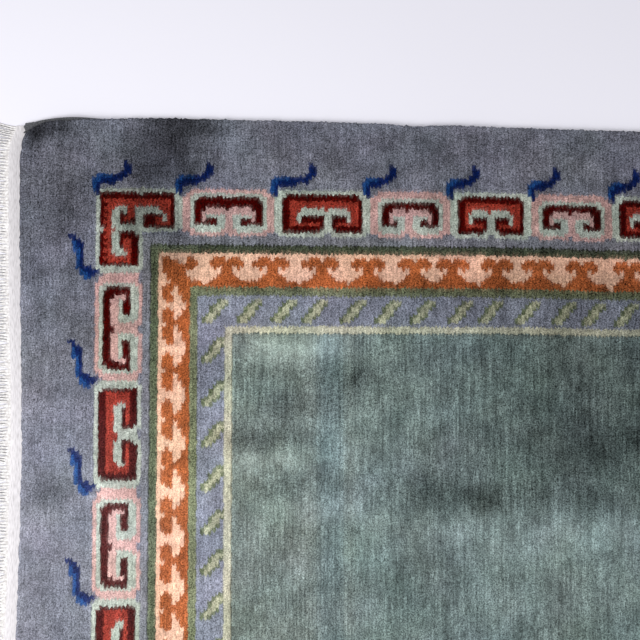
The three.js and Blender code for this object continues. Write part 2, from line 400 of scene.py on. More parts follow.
def evenly(run, count):
    first, spaces = RUNS[run]["first"], RUNS[run]["spaces"]
    last = count - first
    return [round(first + (last - first) * n / spaces) for n in range(spaces + 1)]


def knot_guards():
    """Orange clouds on peach, and slanted pale leaves on the lilac stripe inside them."""
    for n, middle in enumerate(evenly("side_clouds", ROWS)):
        at = middle + GUARD_NUDGES.get(n, 0) - CLOUD_MIDDLE
        wide = n in WIDE_CLOUDS
        stamp(stretch(GUARD, [0], len(GUARD[0]) + wide), at - wide, GUARD_AT["knots"])
    for middle in evenly("end_clouds", KNOTS):
        stamp(END_GUARD, GUARD_AT["rows"], middle + CLOUD_MIDDLE, turned=True)
    stamp(GUARD_CORNER, GUARD_AT["rows"], GUARD_AT["knots"])
    stamp(GUARD_CORNER, GUARD_AT["rows"], GUARD_AT["knots"], mirrored=True)

    for n, middle in enumerate(evenly("side_leaves", ROWS)):
        stamp(LEAF, middle + LEAF_NUDGES.get(n, 0) - LEAF_MIDDLE["side"], LEAVES_AT["knots"])
    for middle in evenly("end_leaves", KNOTS):
        stamp(END_LEAF, LEAVES_AT["rows"], middle - LEAF_MIDDLE["end"])
    stamp(LEAF, LEAVES_AT["rows"] - 1, LEAVES_AT["knots"])
    stamp(LEAF, LEAVES_AT["rows"] - 1, LEAVES_AT["knots"], mirrored=True)


knot_blocks()
knot_guards()


def linear(hex_colour):
    """An sRGB hex colour as linear red, green and blue."""
    srgb = np.array([int(hex_colour[i:i + 2], 16) for i in (1, 3, 5)]) / 255
    return np.where(srgb <= 0.04045, srgb / 12.92, ((srgb + 0.055) / 1.055) ** 2.4)


# How deep the shadows between the fibres look in each yarn: pale wool lets the light through
FIBRE_SHADE = {"F": 1.05, "G": 1.12, "I": 1.08, "L": 1, "O": 1.12, "C": 0.66, "M": 0.75,
               "P": 0.8, "Y": 0.78, "y": 0.9, "g": 0.9, "D": 1.4, "B": 1.2, "N": 1.1, "U": 1,
               "K": 1.4, "E": 1.2}

rng = np.random.default_rng(1691)
YARN_SPREAD = 0.11  # how much lighter or darker one knot is than the next
LOT_SPREAD = 0.025  # how much a new skein differs from the last, along the rows
LOT_ROWS = 9  # about as many rows as a skein lasts

# The field's wool was dyed in several lots: from row to row it turns from grey to sea green
FIELD_LOTS = [(56, 0.9), (76, 0.8), (79, -0.5), (83, -0.5), (85, 0.6), (88, 0.1), (112, -0.1),
              (140, 0.1), (170, -0.3), (200, 0.4), (240, -0.2), (300, 0.3), (340, -0.4),
              (372, 0.5)]  # the row, and how grey its wool is
FIELD_LOT_TINT = np.array([0.045, -0.02, -0.075])  # how the greyest lot differs from the middle

# Painted light and shade: in the first and the last rows some yarns are drawn lighter or darker for
# how the light falls on the ends: how much lighter or darker each yarn is there
END_ROWS_PAINTED_LIGHT = {"rows": 46, "lighter": {"K": 0.75, "E": 0.2, "I": 0.12, "O": -0.06, "C": -0.09,
                                   "M": -0.08}}


def yarn_colours():
    """The colour of each knot: its yarn, the skein it came from, its own small difference, and the
    light and shade painted on its end rows.
    """
    colours = np.array([linear(YARNS[name]) for name in YARN_NAMES])
    chart = colours[np.searchsorted(YARN_NAMES, pattern)]
    skeins = np.convolve(rng.normal(0, 1, ROWS + LOT_ROWS - 1),
                         np.ones(LOT_ROWS) / np.sqrt(LOT_ROWS), "valid")[:, None, None]
    own = rng.normal(0, YARN_SPREAD, (ROWS, KNOTS, 1))
    at, greyness = np.array(FIELD_LOTS).T
    grey = np.interp(np.arange(ROWS) + 0.5, at, greyness)[:, None, None] * FIELD_LOT_TINT
    in_field = (pattern == "F")[:, :, None]
    from_end = np.minimum(np.arange(ROWS), ROWS - 1 - np.arange(ROWS))
    lighter = sum((pattern == yarn) * share for yarn, share in END_ROWS_PAINTED_LIGHT["lighter"].items())
    lighter = (lighter * (from_end < END_ROWS_PAINTED_LIGHT["rows"])[:, None])[:, :, None]
    return chart * (1 + own + LOT_SPREAD * skeins + np.where(in_field, grey, 0) + lighter)


knot_colours = yarn_colours()
fibre_shades = np.vectorize(FIBRE_SHADE.get)(pattern).astype(float)


def select_only(piece):
    bpy.ops.object.select_all(action="DESELECT")
    piece.select_set(True)
    bpy.context.view_layer.objects.active = piece


def places(mesh):
    points = np.empty(len(mesh.vertices) * 3)
    mesh.vertices.foreach_get("co", points)
    return points.reshape(-1, 3)


def move_to(mesh, points):
    mesh.vertices.foreach_set("co", np.ascontiguousarray(points).ravel())
    mesh.update()


def knot_grid(name, columns, lines):
    """A flat grid of faces, one or more to a knot, as places from 0 to 1 along X and from the
    back edge, with each face in its knot's colour."""
    bpy.ops.object.select_all(action="DESELECT")
    bpy.ops.mesh.primitive_grid_add(x_subdivisions=columns, y_subdivisions=lines, size=1)
    piece = bpy.context.object
    piece.name = piece.data.name = name
    mesh = piece.data
    centres = np.empty(len(mesh.polygons) * 3)
    mesh.polygons.foreach_get("center", centres)
    centres = centres.reshape(-1, 3)
    row = ((centres[:, 0] + 0.5) * ROWS).astype(int)
    knot = ((0.5 - centres[:, 1]) * KNOTS).astype(int)
    wool = np.ones((len(centres), 4, 4))
    wool[:, :, :3] = knot_colours[row, knot][:, None, :]
    layer = mesh.color_attributes.new("wool", "FLOAT_COLOR", "CORNER")
    layer.data.foreach_set("color", wool.ravel())
    layer = mesh.attributes.new("fibre_shade", "FLOAT", "FACE")
    layer.data.foreach_set("value", fibre_shades[row, knot])
    return piece, row, knot


def pick_faces(piece, wanted):
    """Leaves the piece in edit mode with just these faces selected."""
    select_only(piece)
    mesh = piece.data
    mesh.vertices.foreach_set("select", np.zeros(len(mesh.vertices), bool))
    mesh.edges.foreach_set("select", np.zeros(len(mesh.edges), bool))
    mesh.polygons.foreach_set("select", wanted)
    bpy.ops.object.mode_set(mode="EDIT")
    bpy.ops.mesh.select_mode(type="FACE")


def pick_open_edges(piece):
    """Leaves the piece in edit mode with the edges of its open border selected."""
    select_only(piece)
    bpy.ops.object.mode_set(mode="EDIT")
    bpy.ops.mesh.select_mode(type="EDGE")
    bpy.ops.mesh.select_all(action="DESELECT")
    bpy.ops.mesh.select_non_manifold()


def extrude_border(piece, reshape):
    """Extrudes the open border, and takes its new points to where reshape puts them."""
    pick_open_edges(piece)
    bpy.ops.mesh.extrude_edges_move()
    bpy.ops.object.mode_set(mode="OBJECT")
    mesh = piece.data
    picked = np.empty(len(mesh.vertices), bool)
    mesh.vertices.foreach_get("select", picked)
    points = places(mesh)
    points[picked] = reshape(points[picked])
    move_to(mesh, points)


def close_border(piece):
    """Fills the open border, and turns all faces outwards."""
    pick_open_edges(piece)
    bpy.ops.mesh.fill()
    bpy.ops.mesh.select_all(action="SELECT")
    bpy.ops.mesh.normals_make_consistent(inside=False)
    bpy.ops.object.mode_set(mode="OBJECT")


UV_MARGIN = 0.012  # share of the map left free round the piece
UNDERSIDE_STRIP = 0.03  # share of the map that the hidden side takes


def lay_out(piece, hidden_side=-1):
    """Maps the piece as seen from above, its sides folded out and its hidden side in a strip."""
    mesh = piece.data
    normals = np.empty(len(mesh.polygons) * 3)
    mesh.polygons.foreach_get("normal", normals)
    totals = np.empty(len(mesh.polygons), int)
    mesh.polygons.foreach_get("loop_total", totals)
    corners = np.empty(len(mesh.loops), int)
    mesh.loops.foreach_get("vertex_index", corners)
    points = places(mesh)[corners]
    normal = np.repeat(normals.reshape(-1, 3), totals, axis=0)
    top = points[:, 2].max()
    side = (np.abs(normal[:, 2]) < 0.5)[:, None]
    flat = points[:, :2] + np.where(side, normal[:, :2] * (top - points[:, 2:3]), 0)
    low, high = flat.min(0), flat.max(0)
    share = UV_MARGIN + (1 - 2 * UV_MARGIN) * (flat - low) / (high - low)
    hidden = normal[:, 2] * hidden_side > 0.5
    share[:, 1] = np.where(hidden, UNDERSIDE_STRIP * share[:, 1],
                           UNDERSIDE_STRIP + (1 - UNDERSIDE_STRIP) * share[:, 1])
    layer = mesh.uv_layers.new(name="OFBake")
    layer.data.foreach_set("uv", share.ravel())


def add_node(tree, kind, values=None, links=None, stops=(), **settings):
    """Adds a node, with its options, the values of its inputs, what its inputs link to, and
    the places and colours of a ramp's stops."""
    node = tree.nodes.new(kind)
    for name, value in settings.items():
        setattr(node, name, value)
    for name, value in (values or {}).items():
        node.inputs[name].default_value = value
    for name, source in (links or {}).items():
        tree.links.new(node.inputs[name], source)
    for k, (position, hex_colour) in enumerate(stops):
        node.color_ramp.elements[k].position = position
        node.color_ramp.elements[k].color = (*linear(hex_colour), 1)
    return node


def new_material(name):
    material = bpy.data.materials.new(name)
    material.use_nodes = True
    tree = material.node_tree
    return material, tree, tree.nodes["Principled BSDF"]


# Wool knots seen from the back: matt, each knot a loop over two warps. The loops are drawn by
# waves at the real spacing of the rows and the knots.
LOOP_DEPTH = 0.5 * MM
WAVE_TURN = 20  # radians that a wave texture turns through in a metre, at scale 1
back_wool, tree, shader = new_material("knotted_wool_back")
shader.inputs["Roughness"].default_value = 0.95
shader.inputs["Specular IOR Level"].default_value = 0.1
place = add_node(tree, "ShaderNodeTexCoord")
yarn = add_node(tree, "ShaderNodeVertexColor", layer_name="wool")
fuzz = add_node(tree, "ShaderNodeTexNoise", {"Scale": 1 / (1.2 * MM), "Detail": 3},
                {"Vector": place.outputs["Object"]})
fuzz_tone = add_node(tree, "ShaderNodeMapRange", {"To Min": 0.72, "To Max": 1.28},
                     {"Value": fuzz.outputs["Fac"]})
toned = add_node(tree, "ShaderNodeVectorMath", None,
                 {0: yarn.outputs["Color"], "Scale": fuzz_tone.outputs["Result"]},
                 operation="SCALE")
rows_wave = add_node(tree, "ShaderNodeTexWave", {"Scale": turn(1, ROW) / WAVE_TURN},
                     {"Vector": place.outputs["Object"]}, bands_direction="X")
knots_wave = add_node(tree, "ShaderNodeTexWave", {"Scale": turn(1, KNOT) / WAVE_TURN},
                      {"Vector": place.outputs["Object"]}, bands_direction="Y")
loops = add_node(tree, "ShaderNodeMath", None,
                 {0: rows_wave.outputs["Fac"], 1: knots_wave.outputs["Fac"]}, operation="MULTIPLY")
loop_bump = add_node(tree, "ShaderNodeBump", {"Distance": LOOP_DEPTH},
                     {"Height": loops.outputs["Value"]})
tree.links.new(shader.inputs["Base Color"], toned.outputs["Vector"])
tree.links.new(shader.inputs["Normal"], loop_bump.outputs["Normal"])

foundation, row, knot = knot_grid("foundation", ROWS, KNOTS)
mesh = foundation.data
flat = places(mesh)
x, y = to_outline(2 * FOUNDATION_X * flat[:, 0], 2 * FOUNDATION_Y * flat[:, 1],
                  FOUNDATION_X, FOUNDATION_Y, FOUNDATION_CORNER)
move_to(mesh, np.stack([x, y, curl(x, y)], 1))
FIELD_AT = {"rows": 55, "knots": 61}
FIELD_MARGIN = 3  # knots of the field's own colour left round the part that is filled in one


def within(band, row, knot, margin=0):
    """Which knots lie inside the line where a band of the border ends, less a margin."""
    rows, knots = band["rows"] + margin, band["knots"] + margin
    return (row >= rows) & (row < ROWS - rows) & (knot >= knots) & (knot < KNOTS - knots)


# The field is one colour, so its back is a single face
pick_faces(foundation, within(FIELD_AT, row, knot, FIELD_MARGIN))
bpy.ops.mesh.dissolve_faces()
bpy.ops.object.mode_set(mode="OBJECT")
field_back = max(mesh.polygons, key=lambda face: face.loop_total)  # its corners set its colour
for corner in field_back.loop_indices:
    mesh.color_attributes["wool"].data[corner].color = (*linear(YARNS["F"]), 1)
extrude_border(foundation, lambda p: p + [0, 0, FOUNDATION_TOP])
close_border(foundation)
lay_out(foundation, hidden_side=1)
foundation.data.materials.clear()
foundation.data.materials.append(back_wool)
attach(foundation, "root")
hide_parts("rug_body")

# The pile: the cut ends of the wool knots, 8 mm long over the foundation. Each row of knots
# stands as a rib across the rug. It is three pieces here, the fret border, the guard stripes
# and the plain field, each closed over its own part of the foundation.
PILE_TOP = 11 * MM
EDGE_ROLL = {"drop": 3 * MM, "reach": 5 * MM}  # the outermost tufts are cut lower
PILE_CORNER = 18 * MM
LIP_RISE = 1.1 * MM  # of the bulge of the edge tufts, over the height of their foot
LIP_CAP = 2 * MM  # the foot of the edge tufts lies no higher over the foundation
SELVEDGE_HEIGHT = 4.4 * MM
WEB_THICKNESS = 1.6 * MM
# The rug keeps a few soft folds, each with a shallow dip beside it, and its pile swells a little
FOLDS = [
    {"along": "x", "at": 45 * MM, "wander": 9 * MM, "rise": 2.2 * MM, "reach": 26 * MM},
    {"along": "y", "at": -378 * MM, "wander": 6 * MM, "rise": 1.2 * MM, "reach": 30 * MM},
    {"along": "y", "at": 12 * MM, "wander": 8 * MM, "rise": 1.6 * MM, "reach": 28 * MM},
    {"along": "y", "at": 410 * MM, "wander": 6 * MM, "rise": 1.3 * MM, "reach": 30 * MM},
]
FOLD_DIP = {"share": 0.6, "shift": 1.6}
FOLD_WAVE = 760 * MM
SWELL = {"rise": 0.5 * MM, "length_x": 720 * MM, "length_y": 480 * MM}
# The corner over the back-left end is worn: the pile is thin there, and off the selvedge
HOLLOW = {"x": -824 * MM, "y": 418 * MM, "reach": 11 * MM, "depth": 2.6 * MM}
WORN_BACK = {"at": -800 * MM, "reach": 34 * MM, "depth": 4.5 * MM}
END_SET_BACK = 1.6 * MM  # how far the end rows stand back from the woven end they bulge over
RIB_RISE = 1.3 * MM  # from the groove between two rows to the top of a row
TOOTH = {"rib": -0.38, "groove": 0.1, "spread": 0.15}  # how far tufts lean along their row
TUFT_JITTER = {"across": 0.42 * MM, "up": 0.25 * MM}
MINGLED = 0.3  # how far a tip takes on the colours beside it, on the average
# Painted shade: the wool is drawn darker down in the grooves between the rows, where shade falls,
# and a little lighter on the rib tips
PAINTED_RIB_SHADE = {"tip": 1.06, "groove": 0.9}  # the wool is darker down between the rows

# Painted light and shade: where the pile, brushed or settled against its lie, takes the light and
# looks darker or lighter, the shade in the corner hollow and beside the folds, and the outermost
# tufts lit along the back edge: x, y and the reach along each, all in mm, and how much lighter
PAINTED_NAP_SHADES = [
    (-300, 438, 420, 7, 1.4), (-300, 440, 700, 190, -0.1), (-815, 340, 60, 45, -0.2),
    (-570, 196, 44, 14, 0.34), (-674, 432, 34, 20, -0.78), (-695, 408, 38, 28, -0.68),
    (-716, 374, 30, 27, -0.54), (-676, 383, 22, 22, -0.45), (-714, 332, 30, 27, -0.57),
    (-690, 296, 34, 34, -0.36), (-843, 130, 9, 230, 0.35), (-815, 50, 26, 14, -0.28),
    (-827, 414, 14, 12, -0.78), (-812, 423, 26, 10, -0.7), (-828, 385, 60, 56, -0.16),
    (-792, 350, 46, 24, -0.22), (-480, 420, 130, 24, -0.2), (-470, 385, 140, 24, -0.1),
    (-240, 392, 80, 45, -0.18), (-235, 330, 90, 26, -0.16), (-800, 10, 170, 130, 0.42),
    (-200, 165, 220, 125, -0.53), (-245, 92, 90, 32, -0.55), (-390, 47, 60, 20, -0.54),
    (-260, 40, 140, 18, -0.2), (-300, 262, 170, 22, -0.24), (-230, 10, 200, 26, 0.36),
    (-535, 202, 28, 18, 0.42), (-595, 192, 34, 18, 0.22), (-505, 163, 36, 14, -0.42),
    (-575, 138, 40, 14, -0.22), (-655, 170, 60, 15, -0.28), (-592, 104, 46, 12, -0.46),
    (-612, 82, 24, 12, 0.34), (-562, 84, 24, 12, 0.26), (-500, 92, 50, 20, 0.26),
    (-572, 52, 40, 12, -0.2), (-535, 34, 60, 14, 0.28), (250, -120, 160, 110, -0.3),
    (560, 380, 60, 40, -0.35), (640, -330, 50, 70, -0.3), (-150, -380, 90, 40, -0.25),
    (300, 260, 140, 60, 0.22), (-420, -250, 160, 90, 0.22),
]
# Where the nap is painted darker, the shadows drawn between its fibres are deeper
GRAIN_IN_PAINTED_SHADE = {"deeper": 0.55, "least": 0.6, "most": 1.6}
# Painted sheen: where the nap is painted lighter, a little grey is added to the colour for the light
# the cut ends catch
PAINTED_SHEEN_LIFT = 0.05  # brushed up, the cut ends catch the light and look a little greyer

# Hand-beaten rows never lie quite straight: here the bands bow a little
BOWS = [
    {"x": -215 * MM, "reach": 75 * MM, "shift": -2.2 * MM},
    {"x": 420 * MM, "reach": 120 * MM, "shift": 1.8 * MM},
    {"x": 90 * MM, "reach": 90 * MM, "shift": -1.2 * MM},
]
BOW_FADE = 8  # the power by which a bow dies out towards the straight long sides

# Nor are the rows and the knots all packed as close: the inner bands lie a little off. Each
# pair is a place, counted in from the edge, and the shift there in mm.
PACKED = {"knots": [(20, 0), (34, -0.5), (36, 1.4), (38, -0.4), (48, 1.8), (50, 0), (52, 0),
                    (60, 2.1), (92, 0)],
          "rows": [(0, 0), (12, -1.3), (20, -1.4), (34, -0.9), (46, -0.3), (56, -0.5),
                   (64, -1.1), (84, -0.9), (104, 1.3), (140, 1.1), (213, 0)]}


def packed(share, count, kind):
    """How far the knots have shifted, outwards for the knots and inwards for the rows."""
    index, shift = np.array(PACKED[kind]).T
    from_edge = (0.5 - np.abs(share)) * count
    return np.interp(from_edge, index, shift) * MM * np.sign(share)


# Painted light and shade: the nap table's bells multiplied together, to be multiplied into the
# wool's colour
def painted_nap_shading(x, y):
    shade = 1
    for at_x, at_y, reach_x, reach_y, tone in PAINTED_NAP_SHADES:
        away = bell(x - at_x * MM, reach_x * MM) * bell(y - at_y * MM, reach_y * MM)
        shade = shade * (1 + tone * away)
    return shade


def fold_height(x, y):
    height = 0
    for fold in FOLDS:
        across, along = (y, x) if fold["along"] == "x" else (x, y)
        line = fold["at"] + fold["wander"] * np.sin(turn(along, FOLD_WAVE))
        dip = bell(across - line - FOLD_DIP["shift"] * fold["reach"], fold["reach"])
        height = height + fold["rise"] * (bell(across - line, fold["reach"])
                                          - FOLD_DIP["share"] * dip)
    return height


def pile_height(x, y):
    from_edge = np.clip(np.minimum(END_X - np.abs(x), PILE_Y - np.abs(y)), 0, None)
    swell = SWELL["rise"] * np.sin(turn(x, SWELL["length_x"])) * np.cos(turn(y, SWELL["length_y"]))
    hollow = HOLLOW["depth"] * bell(np.hypot(x - HOLLOW["x"], y - HOLLOW["y"]), HOLLOW["reach"])
    roll = EDGE_ROLL["drop"] * np.exp(-from_edge / EDGE_ROLL["reach"])
    return PILE_TOP - roll + swell + fold_height(x, y) - hollow + curl(x, y)


# Hand-knotted wool, cut with shears: soft, matt, with a faint sheen on the tips. The fibre
# grain is drawn a little coarser than real fibres, so that it shows from a step away.
def add_pile_wool(name, streaks):
    material, tree, shader = new_material(name)
    shader.inputs["Roughness"].default_value = 0.95
    shader.inputs["Specular IOR Level"].default_value = 0.03
    shader.inputs["Sheen Weight"].default_value = 0.01
    shader.inputs["Sheen Roughness"].default_value = 0.5
    place = add_node(tree, "ShaderNodeTexCoord")
    yarn = add_node(tree, "ShaderNodeVertexColor", layer_name="wool")
    fibre = add_node(tree, "ShaderNodeTexNoise", {"Scale": 1 / (1.4 * MM), "Detail": 2},
                     {"Vector": place.outputs["Object"]})
    fibre_tone = add_node(tree, "ShaderNodeMapRange",
                          {"From Min": 0.28, "From Max": 0.72, "To Min": 0.28, "To Max": 1.72},
                          {"Value": fibre.outputs["Fac"]})
    # Over a few rows together the wool is lighter or darker, in streaks along the rows
    along_row = add_node(tree, "ShaderNodeMapping", {"Scale": (1, 0.09, 1)},
                         {"Vector": place.outputs["Object"]})
    streak = add_node(tree, "ShaderNodeTexNoise", {"Scale": 1 / (5 * MM), "Detail": 3},
                      {"Vector": along_row.outputs["Vector"]})
    streak_tone = add_node(tree, "ShaderNodeMapRange",
                           {"From Min": 0.3, "From Max": 0.7, "To Min": 1 - streaks,
                            "To Max": 1 + streaks},
                           {"Value": streak.outputs["Fac"]})
    # Painted light and shade: walked on and brushed, the nap leans this way and that and takes the
    # light unevenly, drawn as soft lighter and darker patches a thumb wide
    painted_nap = add_node(tree, "ShaderNodeTexNoise", {"Scale": 1 / (27 * MM), "Detail": 5},
                   {"Vector": place.outputs["Object"]})
    painted_nap_tone = add_node(tree, "ShaderNodeMapRange",
                        {"From Min": 0.3, "From Max": 0.7, "To Min": 0.75, "To Max": 1.25},
                        {"Value": painted_nap.outputs["Fac"]})
    # Within a row the yarn tips run together, so single rows stand out lighter and darker
    thin = add_node(tree, "ShaderNodeMapping", {"Scale": (1, 0.07, 1)},
                    {"Vector": place.outputs["Object"]})
    row_streak = add_node(tree, "ShaderNodeTexNoise", {"Scale": 1 / (1.9 * MM), "Detail": 2},
                          {"Vector": thin.outputs["Vector"]})
    row_tone = add_node(tree, "ShaderNodeMapRange",
                        {"From Min": 0.3, "From Max": 0.7, "To Min": 1 - streaks,
                         "To Max": 1 + streaks},
                        {"Value": row_streak.outputs["Fac"]})
    fibres = add_node(tree, "ShaderNodeMath", None,
                      {0: fibre_tone.outputs["Result"], 1: row_tone.outputs["Result"]},
                      operation="MULTIPLY")
    streaked = add_node(tree, "ShaderNodeMath", None,
                        {0: fibres.outputs["Value"], 1: streak_tone.outputs["Result"]},
                        operation="MULTIPLY")
    tone = add_node(tree, "ShaderNodeMath", None,
                    {0: streaked.outputs["Value"], 1: painted_nap_tone.outputs["Result"]},
                    operation="MULTIPLY")
    # The dye took unevenly, so the hue drifts a little from place to place
    dye = add_node(tree, "ShaderNodeTexNoise", {"Scale": 1 / (60 * MM), "Detail": 3},
                   {"Vector": place.outputs["Object"]})
    dye_tint = add_node(tree, "ShaderNodeVectorMath",
                        {1: (0.18, 0.13, 0.18), 2: (0.91, 0.935, 0.91)},
                        {0: dye.outputs["Color"]}, operation="MULTIPLY_ADD")
    fibre_shade = add_node(tree, "ShaderNodeAttribute", attribute_name="fibre_shade")
    grain = add_node(tree, "ShaderNodeMix", {"A": 1},
                     {"Factor": fibre_shade.outputs["Fac"], "B": tone.outputs["Value"]},
                     clamp_factor=False)
    dyed = add_node(tree, "ShaderNodeVectorMath", None,
                    {0: yarn.outputs["Color"], 1: dye_tint.outputs["Vector"]},
                    operation="MULTIPLY")
    toned = add_node(tree, "ShaderNodeVectorMath", None,
                     {0: dyed.outputs["Vector"], "Scale": grain.outputs["Result"]},
                     operation="SCALE")
    fibre_bump = add_node(tree, "ShaderNodeBump", {"Distance": 0.5 * MM, "Strength": 0.7},
                          {"Height": fibre.outputs["Fac"]})
    tree.links.new(shader.inputs["Base Color"], toned.outputs["Vector"])
    tree.links.new(shader.inputs["Normal"], fibre_bump.outputs["Normal"])
    return material


border_wool = add_pile_wool("hand_knotted_wool_border", 0.12)
field_wool = add_pile_wool("hand_knotted_wool_field", 0.22)

# Two columns of faces to a row, so that each row has its rib between two grooves
pile, row, knot = knot_grid("pile_field", 2 * ROWS, KNOTS)
mesh = pile.data
flat = places(mesh)
on_rib = np.rint((flat[:, 0] + 0.5) * 2 * ROWS) % 2 == 1
inside = ~np.isclose(np.abs(flat[:, :2]), 0.5).any(1)
length = PILE_LENGTH - 2 * END_SET_BACK
x, y = to_outline(length * flat[:, 0], 2 * PILE_Y * flat[:, 1], length / 2, PILE_Y, PILE_CORNER)
wear_and_tone = WORN_BACK["depth"] * bell(x - WORN_BACK["at"], WORN_BACK["reach"])
y = y - wear_and_tone * np.clip(y / PILE_Y, 0, 1) ** EDGE_FADE
z = pile_height(x, y) + np.where(on_rib, RIB_RISE / 2, -RIB_RISE / 2)
x = x - packed(flat[:, 0], ROWS, "rows")
y = y + packed(flat[:, 1], KNOTS, "knots")
bow = sum(b["shift"] * bell(x - b["x"], b["reach"]) for b in BOWS)
y = y + bow * (1 - (y / PILE_Y) ** BOW_FADE)
lean = np.where(on_rib, TOOTH["rib"], TOOTH["groove"])
lean = lean + TOOTH["spread"] * rng.normal(0, 1, len(y))
y = y + np.where(inside, lean * KNOT, 0)
across, up = TUFT_JITTER["across"], TUFT_JITTER["up"]
jitter = rng.normal(0, 1, (len(flat), 3)) * [across, across, up]
move_to(mesh, np.stack([x, y, z], 1) + jitter)

# Each corner of a face takes its knot's colour, with painted shade by how deep it lies and painted
# light and shade from the nap table
corners = np.empty(len(mesh.loops), int)
mesh.loops.foreach_get("vertex_index", corners)
wool = np.empty(len(corners) * 4)
mesh.color_attributes["wool"].data.foreach_get("color", wool)
wool = wool.reshape(-1, 4)
painted_nap = painted_nap_shading(x, y)
shade = np.where(on_rib, PAINTED_RIB_SHADE["tip"], PAINTED_RIB_SHADE["groove"]) * painted_nap
# Where two colours meet, the tips of the tufts mingle
tufts_at = np.bincount(corners)
around = np.stack([np.bincount(corners, wool[:, c]) / tufts_at for c in range(3)], 1)
share = MINGLED * 2 * rng.random(len(tufts_at))
wool[:, :3] += share[corners, None] * (around[corners] - wool[:, :3])
painted_sheen = PAINTED_SHEEN_LIFT * np.clip(painted_nap - 1, 0, None)
wool[:, :3] = wool[:, :3] * shade[corners, None] + painted_sheen[corners, None]
mesh.color_attributes["wool"].data.foreach_set("color", wool.ravel())
# The shadows drawn between the fibres deepen where the nap is painted darker, face by face
depth = np.empty(len(mesh.polygons))
mesh.attributes["fibre_shade"].data.foreach_get("value", depth)
deeper_in_painted_shade = GRAIN_IN_PAINTED_SHADE["deeper"] * (1 - painted_nap[corners].reshape(-1, 4).mean(1))
depth *= np.clip(1 + deeper_in_painted_shade, GRAIN_IN_PAINTED_SHADE["least"], GRAIN_IN_PAINTED_SHADE["most"])
mesh.attributes["fibre_shade"].data.foreach_set("value", depth)
mesh.materials.clear()
mesh.materials.append(field_wool)


def split_off(piece, wanted, name):
    """Separates these faces as a piece of their own."""
    pick_faces(piece, wanted)
    bpy.ops.mesh.separate(type="SELECTED")
    bpy.ops.object.mode_set(mode="OBJECT")
    new = [o for o in bpy.context.selected_objects if o != piece][0]
    new.name = new.data.name = name
    return new


BORDER_ENDS_AT = {"rows": 34, "knots": 36}
inner = within(BORDER_ENDS_AT, row, knot)
pile_border = split_off(pile, ~inner, "pile_border")
pile_guards = split_off(pile, ~within(FIELD_AT, row[inner], knot[inner]), "pile_guards")
# How the rug's outer edge scales to that of the foundation under it
EDGE_SHARES = np.array([FOUNDATION_X / END_X, FOUNDATION_Y / PILE_Y])
OUTER_EDGE = 30 * MM  # a border point nearer the rug's edge than this lies on that edge


def foot_height(points):
    """The lip's height: over the selvedge on the long sides, over the woven end at the ends."""
    on_side = PILE_Y - np.abs(points[:, 1]) < END_X - np.abs(points[:, 0])
    return np.where(on_side, SELVEDGE_HEIGHT, WEB_THICKNESS) + 2 * FIT_GAP


def on_outer_edge(points):
    return ((END_X - np.abs(points[:, 0]) < OUTER_EDGE)
            | (PILE_Y - np.abs(points[:, 1]) < OUTER_EDGE))


def down_to_lip(points):
    """Down the outside of the edge tufts, bulging a little, or straight down between pieces."""
    outer = on_outer_edge(points)
    lip = foot_height(points) + LIP_RISE + curl(points[:, 0], points[:, 1])
    points[:, 2] = np.where(outer, lip, FOUNDATION_TOP)
    return points


def in_to_foundation(points):
    """Under the bulge, in to the foundation's edge."""
    outer = on_outer_edge(points)
    foot = foot_height(points) + curl(points[:, 0], points[:, 1])
    scaled = points[:, :2] * EDGE_SHARES
    points[:, :2] = np.where(outer[:, None], scaled, points[:, :2])
    points[:, 2] = np.where(outer, np.minimum(foot, FOUNDATION_TOP + LIP_CAP), FOUNDATION_TOP)
    return points


for piece in (pile_border, pile_guards, pile):
    extrude_border(piece, down_to_lip)
    if piece == pile_border:
        extrude_border(piece, in_to_foundation)
    close_border(piece)
    lay_out(piece)
    piece.data.materials[0] = field_wool if piece == pile else border_wool
    select_only(piece)
    bpy.ops.object.shade_smooth()
    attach(piece, "root")
    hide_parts("rug_body")

# The selvedges: along each long side the outermost warps are bundled and overcast with the
# border's grey wool, which makes two thin cords side by side with the wraps across them.
SELVEDGE_SIDES = 10
SELVEDGE_PARTS = (32, 32)  # it is cut across into 32 lengths, and each of those into 32
SQUARENESS = 0.7  # a power under 1 makes the section fuller than a round one
WRAP_PITCH = 3.3 * MM
WRAP_RISE = 0.3 * MM
CORD_GROOVE = {"depth": 1.1 * MM, "reach": 0.25}  # the reach as a share of the half width
CORNER_GIVE = 0.25  # the wraps follow this much of the corner's pull along the rug
# At the back-left corner the wraps have worked loose and spread
LOOSE_END = {"reach": 12 * MM, "spread": 1.9, "fray": 0.8 * MM}

# Thick wool yarn, spun but not cut: matt, with fine fibres that catch a little light. Its grain
# is that of the yarn's own fibres in small bunches.
overcast_wool, tree, shader = new_material("overcast_wool_yarn")
shader.inputs["Roughness"].default_value = 0.9
shader.inputs["Sheen Weight"].default_value = 0.15
place = add_node(tree, "ShaderNodeTexCoord")
grain = add_node(tree, "ShaderNodeTexNoise", {"Scale": 1 / (1.1 * MM), "Detail": 3},
                 {"Vector": place.outputs["Object"]})
ramp = add_node(tree, "ShaderNodeValToRGB", None, {"Fac": grain.outputs["Fac"]},
                stops=[(0.3, "#333437"), (0.75, "#727377")])
grain_bump = add_node(tree, "ShaderNodeBump", {"Distance": 0.3 * MM, "Strength": 0.6},
                      {"Height": grain.outputs["Fac"]})
